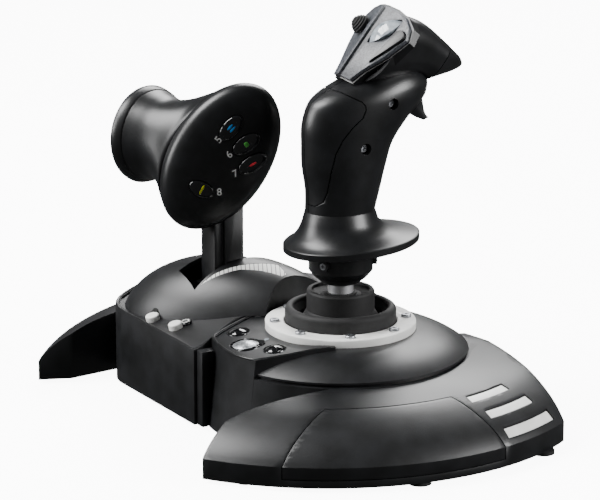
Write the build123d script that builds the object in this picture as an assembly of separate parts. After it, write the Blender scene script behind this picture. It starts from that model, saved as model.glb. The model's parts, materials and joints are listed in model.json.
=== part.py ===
from build123d import *
import math
import os

os.makedirs("parts", exist_ok=True)

# Frame: origin where the stick's axis meets the table, +X right, +Y away from the user, +Z up.

# ---- driving dimensions, mm ----
wall = 2.4                    # moulded shells
gap = 0.4                     # parting gaps between shells
foot_height = 2.0
base_radius = 73.0            # foot of the round base
base_top_radius = 69.4        # the wall leans in to this at the lip
lip_height = 37.4
deck_height = 50.2            # flat deck under the clamp ring
deck_radius = 41.0
throttle_x = -76.6            # centre of the throttle unit's round base
seam_centre_x = 80.0          # the two units part along an arc about this point
seam_radius = 123.5

wing_centre = (-18.9, 2.2)    # the right wing's outer wall is an arc about this point
wing_radius = 138.9
wing_forward_y = 77.0
wing_inner_rho = 70.0
mirror_x = throttle_x / 2

panel_slope = 0.13            # the stick's button panel leans towards the user
panel_y = -38.0
panel_z = 50.3
throttle_front_y = -77.0
throttle_lip_z = 42.0
throttle_slope = 0.25

ring_outer = 40.0
ring_inner = 30.0
ring_top = 54.5
ring_screw_count = 8
ring_screw_radius = 35.2
boot_outer = 29.7
boot_inner = 25.0
boot_lip = 23.3
boot_top = 62.6
cup_radius = 18.0
cup_top = 71.4
skirt_radius = 22.8
pivot_height = 46.0
shaft_radius = 6.8
running = 0.05                # radial clearance of the pivots
pin_radius = 3.0

lever_y = -30.5
lever_z = 18.0
lever_x = -74.0
lever_pin = 4.0
post_width = 15.0
post_back_y = -39.5
post_front_y = -21.7
post_top = 138.0
dome_centre = (-71.6, -24.0, 34.0)
dome_axes = (66.0, 36.0, 41.6)
dome_turn = 39.0
dome_end_radius = 42.0        # from the stick's axis
slot_x = (-83.5, -65.5)
slot_y = (-52.5, 8.0)

head_origin = (0.0, 13.4, 205.6)
head_tilt = 50.25             # the thumb plate's slope
roof_angle = 18.0             # each half of the plate falls away from the ridge
press = 1.2                   # button travel
trigger_pin = (40.5, 171.0)   # Y and Z of the trigger's hinge


def save(shape, name):
    shape.label = name
    export_step(shape, "parts/" + name + ".step")


def tube(radius, low, high, x=0.0, y=0.0, bore=0.0):
    body = Pos(x, y, (low + high) / 2) * Cylinder(radius, high - low)
    if bore > 0:
        body -= Pos(x, y, (low + high) / 2) * Cylinder(bore, high - low + 2)
    return body


def block(x0, x1, y0, y1, z0, z1):
    size = Box(x1 - x0, y1 - y0, z1 - z0)
    return Pos((x0 + x1) / 2, (y0 + y1) / 2, (z0 + z1) / 2) * size


def turned(points):
    face = make_face(Polyline(*points, close=True))
    return revolve(Plane.XZ * face, Axis.Z, 360)


def prism(points, low, high):
    face = make_face(Polyline(*points, close=True))
    return Pos(0, 0, low) * extrude(face, high - low)


def group(solids):
    return Compound(children=list(solids))


# ---- base outlines shared by several pieces ----
def round_body(inset, low):
    """The leaning wall, the lip and the crowned deck, as one filled form."""
    shoulder = [(67.8 - inset, 38.9 - inset * 0.4), (67.8 - inset, 39.9 - inset * 0.6)]
    crown = ThreePointArc(shoulder[1], (56 - inset * 0.6, 46.6 - inset), (deck_radius, deck_height - inset))
    rim = Polyline((0, low), (base_radius - inset, low), (base_top_radius - inset, lip_height - inset * 0.4),
                   (66.4 - inset, lip_height + 0.3 - inset * 0.4), (66.4 - inset, 38.7 - inset * 0.4),
                   shoulder[0], shoulder[1])
    centre = Polyline((deck_radius, deck_height - inset), (0, deck_height - inset), (0, low))
    return revolve(Plane.XZ * make_face(rim + crown + centre), Axis.Z, 360)


def seam_body(grow, low=-5.0, high=90.0):
    return tube(seam_radius + grow, low, high, seam_centre_x, 0)


def below_slope(slope, y, z, y_low=-130.0, y_high=90.0):
    """Everything under the plane that passes through (y, z) and rises forward at the slope."""
    low = z + slope * (y_low - y)
    high = z + slope * (y_high - y)
    face = make_face(Polyline((y_low, -20), (y_high, -20), (y_high, high), (y_low, low), close=True))
    return Pos(-200, 0, 0) * extrude(Plane.YZ * face, 400)


def stick_prow(inset):
    """The raised button panel that grows out of the round wall on the user's side."""
    top = 51.7 - inset
    corner = 23.0 - inset
    outline = [(-60, 12), (-60, -90), (corner, -90), (corner, -65.2), (29.2 - inset, -48), (35.5 - inset, -24),
               (20, -18), (-34, -18), (-38, 12)]
    cone = turned([(0, 20), (base_radius - inset - 1.8, 20), (68.3 - inset, 50), (68.3 - inset, 60), (0, 60)])
    lean = below_slope(panel_slope, panel_y, panel_z + 0.6 - inset)
    return (prism(outline, 20, top) & cone) & lean


def stick_outer(inset, low):
    return (round_body(inset, low) + stick_prow(inset)) & seam_body(-inset)


def panel_place(x, y, lift=0.0):
    """A place on the stick's button panel, with its own Z along the panel's normal."""
    angle = math.degrees(math.atan(panel_slope))
    z = panel_z + panel_slope * (y - panel_y)
    return Pos(x, y, z) * Rot(angle, 0, 0) * Pos(0, 0, lift)


def throttle_place(x, y, lift=0.0):
    angle = math.degrees(math.atan(throttle_slope))
    z = throttle_lip_z + throttle_slope * (y - throttle_front_y)
    return Pos(x, y, z) * Rot(angle, 0, 0) * Pos(0, 0, lift)


# ---- the stick's base ----
def stick_base_shell():
    shell = stick_outer(0, foot_height) - stick_outer(wall, 0)
    shell -= tube(ring_outer + 0.3, deck_height + 0.02, 60)
    rim = [(-23.6, -64.2), (20.4, -64.0), (27.0, -47.5), (33.0, -25.5), (20, -20), (-36, -20), (-40, -2), (-42, -30)]
    pocket = prism(rim, 30, 60) & seam_body(-2.2)
    pocket -= below_slope(panel_slope, panel_y, panel_z)
    shell -= pocket & turned([(0, 30), (66.6, 30), (66.6, 60), (0, 60)])
    shell -= tube(27.5, 40, 60)
    for x, y, radius in panel_holes:
        shell -= panel_place(x, y) * Cylinder(radius, 24)
    shell -= panel_place(1.6, -50.4) * Cylinder(3.4, 24)
    shell -= Pos(0, 70, 15) * Rot(90, 0, 0) * Cylinder(5.0, 12)
    for x, y in deck_screw_points():
        shell -= tube(1.4, 46, 52, x, y)
    return shell


def deck_screw_points():
    step = 360 / ring_screw_count
    turns = [math.radians(step * (i + 0.5)) for i in range(ring_screw_count)]
    return [(ring_screw_radius * math.cos(a), ring_screw_radius * math.sin(a)) for a in turns]


panel_holes = [(-2.0, -57.0, 7.4), (-22.0, -50.0, 5.4), (15.0, -49.0, 5.4), (-1.0, -44.3, 1.3)]


def stick_base_plate():
    plate = tube(69.8, foot_height, foot_height + wall) & seam_body(-wall - 0.3)
    for x, y in [(26, -50), (26, 50), (-22, -50), (-22, 50)]:
        plate += tube(4.5, foot_height + wall, 16, x, y)
    plate += tube(13, foot_height + wall, 9) - tube(10.6, foot_height + wall, 10)
    return plate


def base_dome_button(radius, crown, stem):
    body = Pos(0, 0, -3) * Cylinder(radius, 6)
    ball = (radius * radius + crown * crown) / (2 * crown)
    cap = Pos(0, 0, crown - ball) * Sphere(ball) & Pos(0, 0, crown / 2) * Cylinder(radius, crown)
    return body + cap + Pos(0, 0, -6 - stem / 2) * Cylinder(radius * 0.5, stem)


def clamp_ring():
    ring = tube(ring_outer, deck_height + 0.05, ring_top, bore=ring_inner)
    top = ring.edges().filter_by(GeomType.CIRCLE).group_by(Axis.Z)[-1]
    ring = fillet(top, 0.7)
    for x, y in deck_screw_points():
        ring -= tube(1.4, deck_height - 1, ring_top + 1, x, y)
    return ring


def pan_screw(head_radius, head_height, shank_radius, shank_length):
    """A screw with its seat at Z = 0, head up, and a cross recess."""
    head = Pos(0, 0, head_height / 2) * Cylinder(head_radius, head_height)
    head = fillet(head.edges().group_by(Axis.Z)[-1], head_height * 0.45)
    arm = Box(head_radius * 1.1, head_radius * 0.26, head_height)
    head -= Pos(0, 0, head_height * 0.95) * arm
    head -= Pos(0, 0, head_height * 0.95) * Rot(0, 0, 90) * arm
    return head + Pos(0, 0, -shank_length / 2) * Cylinder(shank_radius, shank_length)


def ring_screws():
    return group(Pos(x, y, ring_top) * pan_screw(2.65, 1.5, 1.38, 7.0) for x, y in deck_screw_points())


def boot_ring():
    profile = Polyline((boot_lip, deck_height + 0.1), (boot_outer - 0.2, deck_height + 0.1),
                       (boot_outer - 0.2, 60.2))
    shoulder = ThreePointArc((boot_outer - 0.2, 60.2), (28.7, 61.9), (27.4, boot_top))
    crest = ThreePointArc((27.4, boot_top), (25.6, 62.2), (boot_inner, 60.6))
    inside = Polyline((boot_inner, 60.6), (boot_lip, 56.5), (boot_lip, deck_height + 0.1))
    return revolve(Plane.XZ * make_face(profile + shoulder + crest + inside), Axis.Z, 360)


# ---- the gimbal ----
def gimbal_housing():
    body = tube(34, 44.8, 47.2, bore=24.4)
    body += tube(27.2, 44.8, 50.0, bore=24.4)
    for side in (-1, 1):
        boss = block(20.5, 26.4, -7, 7, 37, 49.4) if side > 0 else block(-26.4, -20.5, -7, 7, 37, 49.4)
        body += boss
    bore = Pos(0, 0, pivot_height) * Rot(0, 90, 0) * Cylinder(pin_radius + running, 60)
    body -= bore
    return body


def gimbal_yoke():
    ring = tube(15.6, pivot_height - 4, pivot_height + 4, bore=12.5)
    for side in (-1, 1):
        pin = Pos(side * 20.0, 0, pivot_height) * Rot(0, 90, 0) * Cylinder(pin_radius, 11)
        ring += pin
    ring -= Pos(0, 0, pivot_height) * Rot(90, 0, 0) * Cylinder(pin_radius + running, 40)
    ring -= tube(12.5, pivot_height - 5, pivot_height + 5)
    return ring


def coil(inner, outer, low, high, turns):
    """A torsion spring lying along X, as touching turns around the pin."""
    pitch = (high - low) / turns
    wire = (outer - inner) / 2
    rings = []
    for i in range(turns):
        place = Pos(low + pitch * (i + 0.5), 0, pivot_height) * Rot(0, 90, 0)
        rings.append(place * Torus((outer + inner) / 2, min(wire, pitch / 2 - 0.04)))
    return rings


def pitch_springs():
    return group(coil(3.3, 5.0, 15.9, 20.2, 3) + coil(3.3, 5.0, -20.2, -15.9, 3))


def roll_springs():
    rings = coil(3.3, 4.3, 9.9, 11.5, 2) + coil(3.3, 4.3, -11.5, -9.9, 2)
    return group(Rot(0, 0, 90) * ring for ring in rings)


def stick_shaft():
    shaft = tube(shaft_radius, 24, 108)
    shaft += tube(9.8, pivot_height - 5, pivot_height + 5)
    for side in (-1, 1):
        shaft += Pos(0, side * 12.4, pivot_height) * Rot(90, 0, 0) * Cylinder(pin_radius, 6.0)
    return shaft


def boot_cup():
    """The tilting inner boot: a cup on a skirt that is round about the pivot."""
    skirt = Pos(0, 0, pivot_height) * (Sphere(skirt_radius) - Sphere(skirt_radius - 1.6))
    cone = turned([(0, pivot_height), (45, pivot_height + 24), (0, pivot_height + 60)])
    skirt &= cone
    cup = turned([(8.0, 64.0), (15.0, 62.5), (cup_radius, 60.5), (cup_radius, cup_top - 1.2),
                  (cup_radius - 0.6, cup_top - 0.2), (cup_radius - 1.6, cup_top), (cup_radius - 2.6, cup_top - 0.2),
                  (15.0, cup_top - 1.6), (11.0, cup_top - 3.0), (8.0, cup_top - 2.2)])
    cup += turned([(shaft_radius, 62.0), (8.6, 62.0), (8.6, cup_top - 1.6), (shaft_radius, cup_top - 1.6)])
    body = skirt + cup
    body += turned([(12.6, 60.5), (15.6, 60.5), (15.6, 64.5), (12.6, 64.5)])
    return body - tube(shaft_radius, 40, 80)


# ---- the grip ----
# height, centre in Y, half depth in Y, half width in X
grip_sections = [
    (114.8, -0.6, 19.0, 16.8),
    (126.0, 1.0, 20.6, 17.4),
    (139.0, 1.8, 23.6, 18.0),
    (150.0, 3.6, 25.8, 18.4),
    (161.0, 8.0, 30.2, 18.8),
    (171.0, 14.0, 34.6, 19.0),
    (179.0, 17.8, 35.4, 19.0),
]


def grip_form(inset):
    faces = []
    for height, centre, depth, width in grip_sections:
        z = height - inset if height == grip_sections[-1][0] else height
        faces.append(Pos(0, centre, z) * Ellipse(width - inset, depth - inset))
    return loft(faces)


def head_place():
    return Plane(origin=head_origin, x_dir=(1, 0, 0),
                 z_dir=(0, -math.sin(math.radians(head_tilt)), math.cos(math.radians(head_tilt)))).location


def head_block(grow, top, bottom):
    """The thumb plate's outline, pushed through from one depth to another along the plate's normal."""
    outline = Polyline((-8 - grow, -24 - grow), (8 + grow, -24 - grow), (11 + grow, -17), (18.5 + grow, -5),
                       (24 + grow, 7.5), (21.5 + grow, 14 + grow), (15.5, 18.6 + grow), (8, 20.4 + grow),
                       (-8, 20.4 + grow), (-15.5, 18.6 + grow), (-21.5 - grow, 14 + grow), (-24 - grow, 7.5),
                       (-18.5 - grow, -5), (-11 - grow, -17), close=True)
    body = extrude(make_face(outline), top - bottom)
    return head_place() * Pos(0, 0, bottom) * body


def roof(depth):
    """Everything under the two falling halves of the thumb plate."""
    rise = 60 * math.tan(math.radians(roof_angle))
    face = make_face(Polyline((0, -depth), (60, -depth - rise), (60, -120), (-60, -120), (-60, -depth - rise), close=True))
    body = extrude(Plane.XZ * face, 80, both=True)
    return head_place() * body


def facet_place(side, x, w, lift=0.0):
    """A place on one falling half of the thumb plate: x across from the ridge, w up the slope."""
    return head_place() * Rot(0, side * roof_angle, 0) * Pos(side * x, w, lift)


def head_stations(inset):
    """Sections of the head forward of the plate: depth, centre up the slope, half height, half width."""
    return [(-9.0, -0.5, 21.0 - inset, 20.5 - inset), (-17.0, 4.0, 19.6 - inset, 18.5 - inset),
            (-27.0, 9.6, 15.4 - inset, 15.5 - inset), (-43.0, 13.6, 11.3 - inset, 11.6 - inset)]


def head_body():
    faces = [head_place() * Pos(0, w, depth) * RectangleRounded(2 * width, 2 * height, min(width, height) * 0.72)
             for depth, w, height, width in head_stations(0)]
    barrel = loft(faces)
    rim = head_block(0.9, -1.0, -14.0) & roof(2.2)
    body = rim + barrel
    room = [head_place() * Pos(0, w, depth) * RectangleRounded(2 * width, 2 * height, min(width, height) * 0.72)
            for depth, w, height, width in head_stations(wall)]
    body -= loft(room[:3])
    body -= head_block(-1.0, 4.0, -12.0)
    body -= grip_form(-0.3)
    return body


def head_plate():
    plate = (head_block(0, 2.0, -16.0) & roof(0)) - roof(1.9)
    ridge = head_place() * Pos(0, -2.5, 0.0) * Box(2.6, 43.0, 2.2)
    plate += ridge & head_block(0, 4.0, -16.0)
    plate -= facet_place(-1, 10.5, 6.0) * Cylinder(3.4, 12)
    plate -= lens_form(0.35, 12)
    plate -= teardrop_form(0.35, 12)
    return plate


def lens_form(grow, depth):
    """A lens outline on the plate's right half, its long axis climbing outwards."""
    half = 10.6
    bow = 4.1
    outline = ThreePointArc((-half, 0), (0, bow), (half, 0)) + ThreePointArc((half, 0), (0, -bow), (-half, 0))
    face = make_face(outline)
    face = offset(face, grow) if grow > 0 else face
    return facet_place(1, 10.0, 7.2) * Rot(0, 0, 58) * Pos(0, 0, -depth / 2) * extrude(face, depth)


def teardrop_form(grow, depth):
    """A long drop beside the plate's right edge, round end up the slope."""
    tip = (0, -11.6)
    sides = Polyline((-3.4, 8.6), tip, (3.4, 8.6))
    face = make_face(sides + ThreePointArc((3.4, 8.6), (0, 12.0), (-3.4, 8.6)))
    face = offset(face, grow) if grow > 0 else face
    return facet_place(1, 17.6, -0.5) * Rot(0, 0, -21) * Pos(0, 0, -depth / 2) * extrude(face, depth)


def lens_button():
    crown = facet_place(1, 10.0, 7.2, -13.0) * Sphere(15.4)
    return lens_form(0, 9.0) & crown


def teardrop_button():
    return facet_place(1, 17.6, -0.5, -0.7) * facet_place(1, 17.6, -0.5).inverse() * teardrop_form(0, 4.6)


def nose_cap():
    last = head_stations(0)[-1]
    stations = [(-43.4, last[1], last[2], last[3]), (-50.0, 17.0, 7.6, 8.2), (-56.0, 20.0, 4.2, 4.6),
                (-59.6, 21.6, 1.3, 1.5)]
    faces = [head_place() * Pos(0, w, depth) * RectangleRounded(2 * width, 2 * height, min(width, height) * 0.72)
             for depth, w, height, width in stations]
    return loft(faces)


def grip_shells():
    skin = grip_form(0) - grip_form(wall)
    skin -= palm_region(0.25)
    skin -= trigger_window()
    for y, z in grip_screw_points:
        skin -= Pos(12, y, z) * Rot(0, 90, 0) * Cylinder(2.9, 20)
    skin -= tube(shaft_radius + 1.2, 100, 118)
    left = skin & block(-40, -0.1, -60, 80, 80, 200)
    right = skin & block(0.1, 40, -60, 80, 80, 200)
    return left, right


grip_screw_points = [(20.7, 172.0), (4.4, 149.8)]


def palm_region(grow):
    """The palm insert's outline, seen from the user's side."""
    shape = [(-13.2 - grow, 172.5 + grow), (-14.6 - grow, 160), (-12.0 - grow, 146), (-8.6 - grow, 132),
             (-6.6 - grow, 122.0 - grow), (6.6 + grow, 122.0 - grow), (8.6 + grow, 132), (12.0 + grow, 146),
             (14.6 + grow, 160), (13.2 + grow, 172.5 + grow)]
    face = make_face(Polyline(*shape, close=True))
    return extrude(Plane.XZ * face, 60)


def palm_insert():
    return (grip_form(0) - grip_form(wall)) & palm_region(0)


def trigger_window():
    return block(-4.6, 4.6, 30, 62, 157, 173)


def trigger():
    """A curved finger blade that hangs from a pin inside the grip's front."""
    side = Spline((44.5, 173.5), (47.6, 168.0), (48.6, 163.0), (51.5, 158.8))
    front = Polyline((51.5, 158.8), (48.2, 157.6))
    back = Spline((48.2, 157.6), (43.0, 160.6), (38.0, 164.0), (35.0, 168.5))
    face = make_face(side + front + back + Polyline((35.0, 168.5), (38.0, 173.5), (44.5, 173.5)))
    pin = Pos(0, trigger_pin[0], trigger_pin[1]) * Rot(0, 90, 0) * Cylinder(1.6, 9.0)
    return Pos(4.1, 0, 0) * extrude(Plane.YZ * face, -8.2) + pin


def hand_rest():
    """The flared skirt under the grip and the wide plate that carries the hand."""
    sections = [(114.4, -0.6, 19.2, 17.0), (109.0, -0.4, 20.6, 18.4), (104.0, 0.6, 23.6, 21.6),
                (100.6, 3.0, 29.5, 26.5)]
    flare = loft([Pos(0, y, z) * Ellipse(width, depth) for z, y, depth, width in sections])
    tilt = Pos(0, 5, 96.6) * Rot(3.4, 0, 0)
    plate = tilt * Pos(0, 0, -4) * extrude(make_face(hand_rest_outline()), 4.2)
    crown = loft([tilt * Pos(0, 0, 0.1) * make_face(hand_rest_outline()),
                  Pos(0, 2.6, 101.4) * Ellipse(24.5, 27.5)])
    body = flare + plate + crown
    body -= tube(shaft_radius + 1.0, 80, 120)
    return body


def hand_rest_outline():
    points = [(0, -37.5), (17, -32.5), (27.5, -14), (29.5, 8), (22.5, 30), (8, 41.0), (-8, 41.0),
              (-22.5, 30), (-29.5, 8), (-27.5, -14), (-17, -32.5)]
    return Spline(*points, periodic=True)


def grip_collar():
    body = turned([(shaft_radius + running, 75.3), (10.0, 75.3), (13.8, 78.4), (16.4, 81.4), (17.0, 82.2),
                   (17.0, 90.7), (shaft_radius + running, 90.7)])
    for angle in (-60, 60, 180):
        body += Rot(0, 0, angle) * Pos(16.6, 0, 87.6) * Rot(0, 90, 0) * Cylinder(3.0, 5.0)
    return body - tube(shaft_radius + running, 70, 100)


def grip_screws():
    screws = []
    for y, z in grip_screw_points:
        screws.append(Pos(14.0, y, z) * Rot(0, 90, 0) * pan_screw(2.5, 1.6, 1.2, 8))
    for angle in (-60, 60, 180):
        screws.append(Rot(0, 0, angle) * Pos(18.0, 0, 87.6) * Rot(0, 90, 0) * pan_screw(1.9, 1.4, 0.9, 3))
    return group(screws)


def grip_circuit_board():
    board = block(-8, 8, 9, 10.6, 122, 168)
    return board + block(-5, 5, 10.6, 13, 130, 140) + block(-4, 4, 10.6, 12.4, 150, 158)


def hat_carrier():
    ring = facet_place(-1, 10.5, 6.0, -4.0) * Cylinder(2.4, 2.2)
    across = facet_place(-1, 10.5, 6.0, -4.0) * Rot(0, 90, 0) * Cylinder(0.8, 8)
    along = facet_place(-1, 10.5, 6.0, -4.0) * Rot(90, 0, 0) * Cylinder(0.8, 8)
    return ring + across + along


def hat():
    """The ribbed thumb hat: a stem, and a dome cut by stepped rings."""
    steps = [(0, -2.6), (2.0, -2.6), (2.0, 1.0), (4.9, 1.0), (5.5, 1.8), (5.5, 2.6), (4.9, 3.0), (5.1, 3.8),
             (4.4, 4.2), (4.4, 5.0), (3.5, 5.3), (3.3, 6.1), (2.3, 6.3), (1.9, 7.0), (0, 7.2)]
    return facet_place(-1, 10.5, 6.0) * turned(steps)


# ---- the wings ----
def wing_turned(inset, low):
    """The wing's section, spun about the wing's own centre."""
    crown = Spline((wing_radius - inset, 12.7 - inset), (130 - inset * 0.8, 21.9 - inset * 0.8),
                   (120 - inset * 0.5, 28.2 - inset * 0.9), (112 - inset * 0.3, 31.9 - inset),
                   (103, 34.6 - inset), (92, 36.8 - inset), (82, 38.0 - inset), (60, 38.6 - inset))
    sides = Polyline((60, 38.6 - inset), (60, low), (wing_radius - inset, low), (wing_radius - inset, 12.7 - inset))
    face = make_face(crown + sides)
    return Pos(wing_centre[0], wing_centre[1], 0) * revolve(Plane.XZ * face, Axis.Z, 360)


def wing_outline(inset):
    tip = (57.5 - inset, -125)
    back = (50.2 + inset, -97 + inset)
    end = (56.6 + inset * 0.2, -113.4 + inset)
    points = [back, end, (75, -150), (190, -150), (190, wing_forward_y - inset), (26 + inset, wing_forward_y - inset),
              (10 + inset, 72), (0, 40), (0, -10), (57.5 + inset, -36)]
    return prism(points, -5, 60)


def wing_filled(inset, low):
    body = wing_turned(inset, low) & wing_outline(inset)
    return body - turned([(0, -9), (base_radius + gap + inset, -9), (base_radius + gap + inset, 2),
                          (base_top_radius + gap + inset, lip_height), (68.2 + inset, lip_height + 0.4),
                          (68.2 + inset, 70), (0, 70)])


def wing_sector(rho_low, rho_high, start, stop, start_out, stop_out, low, high):
    """A patch of the wing in plan: two arcs about the wing's centre and two straight ends."""
    cx, cy = wing_centre

    def point(rho, angle):
        return (cx + rho * math.cos(math.radians(angle)), cy + rho * math.sin(math.radians(angle)))
    middle = (start + stop) / 2
    middle_out = (start_out + stop_out) / 2
    inner = ThreePointArc(point(rho_low, start), point(rho_low, middle), point(rho_low, stop))
    outer = ThreePointArc(point(rho_high, stop_out), point(rho_high, middle_out), point(rho_high, start_out))
    ends = Line(point(rho_low, stop), point(rho_high, stop_out)) + Line(point(rho_high, start_out),
                                                                       point(rho_low, start))
    return Pos(0, 0, low) * extrude(make_face(inner + outer + ends), high - low)


def panel_patch(grow):
    turn = math.degrees(grow / 120)
    return wing_sector(107.6 - grow, 150, -30.7 - turn, 5.9 + turn, -41.5 - turn, 11.6 + turn, 6.4 - grow, 60)


stripe_bands = [(110.0, 114.4, 10.4, 25.2), (121.4, 125.8, 11.6, 27.6), (132.0, 136.0, 12.8, 29.4)]


def stripe_patch(band, grow):
    low, high, start, stop = band
    turn = math.degrees(grow / 120)
    return wing_sector(low - grow, high + grow, start - turn, stop + turn, start - turn, stop + turn, 4, 60)


def wing_shell():
    shell = wing_filled(0, foot_height) - wing_filled(wall, 0)
    return shell - panel_patch(0.5)


def right_wing():
    shell = wing_shell()
    surface = wing_turned(1.3, 0)
    for band in stripe_bands:
        shell -= stripe_patch(band, 0.5) - surface
    return shell


def wing_panel():
    return (wing_filled(0, foot_height) - wing_filled(wall, 0)) & panel_patch(0)


def wing_stripes():
    skin = wing_turned(0.5, 0) - wing_turned(1.28, 0)
    return group(skin & stripe_patch(band, 0) for band in stripe_bands)


def mirrored(shape):
    return mirror(shape, about=Plane.YZ.offset(mirror_x))


def wing_plates():
    plate = wing_filled(wall + 0.3, foot_height) & block(-200, 200, -200, 200, foot_height, foot_height + wall)
    return group([plate, mirrored(plate)])


# ---- the throttle unit ----
def throttle_block(inset):
    """The straight-fronted part of the throttle unit, with its sloping button panel on top."""
    front = throttle_front_y + inset
    corner = Polyline((-30, -20), (-30, -40), (-21 - inset, -60), (-21 - inset, front), (-104, front))
    bend = Spline((-104, front), (-116, -74.8 + inset), (-124.5 + inset, -69), (-129.3 + inset, -58))
    side = Polyline((-129.3 + inset, -58), (-132.6 + inset, -40), (-132.6 + inset, -20), (-30, -20))
    body = extrude(make_face(corner + bend + side), 51.6 - inset)
    return body & below_slope(throttle_slope, throttle_front_y, throttle_lip_z + 1.2 - inset)


def throttle_outer(inset, low):
    body = Pos(throttle_x, 0, 0) * round_body(inset, low)
    body += throttle_block(inset)
    body &= block(-200, 200, -200, 200, low, 80)
    return body - seam_body(gap + 0.2 + inset)


def throttle_base_shell():
    shell = throttle_outer(0, foot_height) - throttle_outer(wall, 0)
    tray = prism([(-24, throttle_front_y + 1.8), (-24, -40), (-28, -20), (-131, -20), (-127.8, -57), (-123.2, -67.6),
                  (-115.2, -72.8), (-104, throttle_front_y + 1.8)], 30, 60)
    tray -= below_slope(throttle_slope, throttle_front_y, throttle_lip_z)
    shell -= tray - seam_body(2.2)
    shell -= block(-90, -60, -60, 26, 40, 60) & dome_form(wall)
    for x, y, radius in throttle_holes:
        shell -= throttle_place(x, y) * Cylinder(radius, 24)
    return shell


throttle_holes = [(-80.6, -70.0, 4.15), (-59.0, -67.5, 4.15)]


def dome_form(inset):
    """The egg-shaped cover, which stops at a wall round the stick's ring."""
    axes = [axis - inset for axis in dome_axes]
    egg = scale(Sphere(1), by=tuple(axes))
    return Pos(*dome_centre) * Rot(0, 0, dome_turn) * egg - tube(dome_end_radius + inset, -20, 100)


def slot_box(grow):
    x0, x1 = slot_x
    y0, y1 = slot_y
    body = block(x0 - grow, x1 + grow, y0 - grow, y1 + grow, 50, 90)
    return body


def scale_patch(grow):
    points = [(-64.8, -50.0), (-61.2, -41.0), (-56.4, -29.5), (-49.3, -19.9), (-39.8 + grow, -8.6 - grow),
              (-52.9 + grow * 0.3, -8.0 + grow), (-57.8, -23.0), (-63.4, -40.6)]
    return prism(points, 55, 90) - tube(dome_end_radius + 1.8 - grow, 50, 95)


def throttle_dome():
    body = dome_form(0) - dome_form(wall)
    body -= block(-200, 100, -200, 200, -60, 40)
    filled = Pos(throttle_x, 0, 0) * round_body(0, 0) + throttle_tray_form()
    body -= filled
    body -= Pos(0, 0, gap) * stick_outer(0, foot_height)
    body -= slot_box(0)
    body -= scale_patch(0.3) - dome_form(0.7)
    for x, y, radius in throttle_holes:
        body -= throttle_place(x, y) * Cylinder(radius, 24)
    return max(body.solids(), key=lambda solid: solid.volume)


def throttle_tray_form():
    """The floor of the throttle's button tray, filled down to the table."""
    body = throttle_block(0) & below_slope(throttle_slope, throttle_front_y, throttle_lip_z + 0.05)
    return body


def throttle_scale():
    return (dome_form(0.1) - dome_form(0.62)) & scale_patch(0)


def throttle_button():
    body = Pos(0, 0, 0.2) * Cylinder(3.8, 5.6)
    top = body.edges().group_by(Axis.Z)[-1]
    return fillet(top, 0.9) + Pos(0, 0, -4.6) * Cylinder(2.0, 4)


def throttle_base_plate():
    plate = Pos(throttle_x, 0, 0) * tube(69.8, foot_height, foot_height + wall)
    plate += throttle_block(wall + 0.5) & block(-200, 200, -200, 200, foot_height, foot_height + wall)
    plate -= seam_body(gap + 0.4 + wall)
    for x in (-102.0, -52.0):
        plate += block(x - 2.5, x + 2.5, lever_y - 8, lever_y + 8, foot_height, lever_z + 8)
    return plate - lever_bore(0.0)


def lever_bore(clearance):
    return Pos(lever_x, lever_y, lever_z) * Rot(0, 90, 0) * Cylinder(lever_pin + clearance, 200)


def lever_shaft():
    return Pos(-77, lever_y, lever_z) * Rot(0, 90, 0) * Cylinder(lever_pin, 56)


def friction_pads():
    pads = []
    for x in (-92.0, -57.5):
        pad = Pos(x, lever_y, lever_z) * Rot(0, 90, 0) * (Cylinder(9, 3) - Cylinder(lever_pin, 5))
        pads.append(pad)
    return group(pads)


def lever_arm():
    """Hub, post and the curved shield that closes the slot."""
    x0 = lever_x - post_width / 2
    x1 = lever_x + post_width / 2
    post = block(x0, x1, post_back_y, post_front_y, lever_z, post_top)
    post -= block(x1 - 1.6, x1 + 1, post_back_y + 1.4, post_back_y + 6.2, 45, 140)
    post = post - block(x0 - 1, x0 + 1.6, post_back_y + 1.4, post_back_y + 6.2, 45, 140)
    hub = Pos(lever_x, lever_y, lever_z) * Rot(0, 90, 0) * Cylinder(10, 22)
    arc = Pos(lever_x, lever_y, lever_z) * Rot(0, 90, 0) * (Cylinder(45.0, 17.4) - Cylinder(43.4, 20))
    wedge = [(0, 0), (-17, 60), (-27, 95), (70, 95), (70, 60)]
    sector = Pos(-200, lever_y, lever_z) * extrude(Plane.YZ * make_face(Polyline(*wedge, close=True)), 400)
    body = post + hub + (arc & sector)
    return body - lever_bore(running)


# ---- the throttle's handle ----
# point on the centre line, yaw of the section, half height, half width, lean of the section
cap_section = 3
face_section = 7
handle_sections = [
    ((-119.4, -54.6, 137.7), 16.6, 23.6, 23.5, 0),
    ((-117.6, -53.9, 137.7), 16.6, 26.9, 26.8, 0),
    ((-112.0, -51.8, 137.7), 16.6, 25.4, 25.3, 0),
    ((-108.0, -50.8, 137.6), 16.6, 23.4, 22.9, 4),
    ((-99.0, -48.0, 136.6), 12.0, 22.8, 20.8, 12),
    ((-89.0, -44.0, 134.6), 4.0, 27.4, 21.2, 20),
    ((-79.5, -38.6, 132.8), -7.0, 35.8, 24.2, 25),
    ((-70.6, -34.4, 132.8), -19.9, 43.2, 27.6, 27),
    ((-66.0, -36.0, 132.8), -19.9, 43.0, 27.2, 27),
    ((-62.4, -37.2, 133.0), -19.9, 38.5, 23.4, 27),
    ((-60.2, -38.0, 133.2), -19.9, 25.0, 14.6, 27),
]


def handle_plane(station):
    centre, yaw, half_height, half_width, lean = station
    angle = math.radians(yaw)
    plane = Plane(origin=centre, x_dir=(-math.sin(angle), math.cos(angle), 0),
                  z_dir=(math.cos(angle), math.sin(angle), 0))
    return plane.location * Rot(0, 0, -lean)


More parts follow.
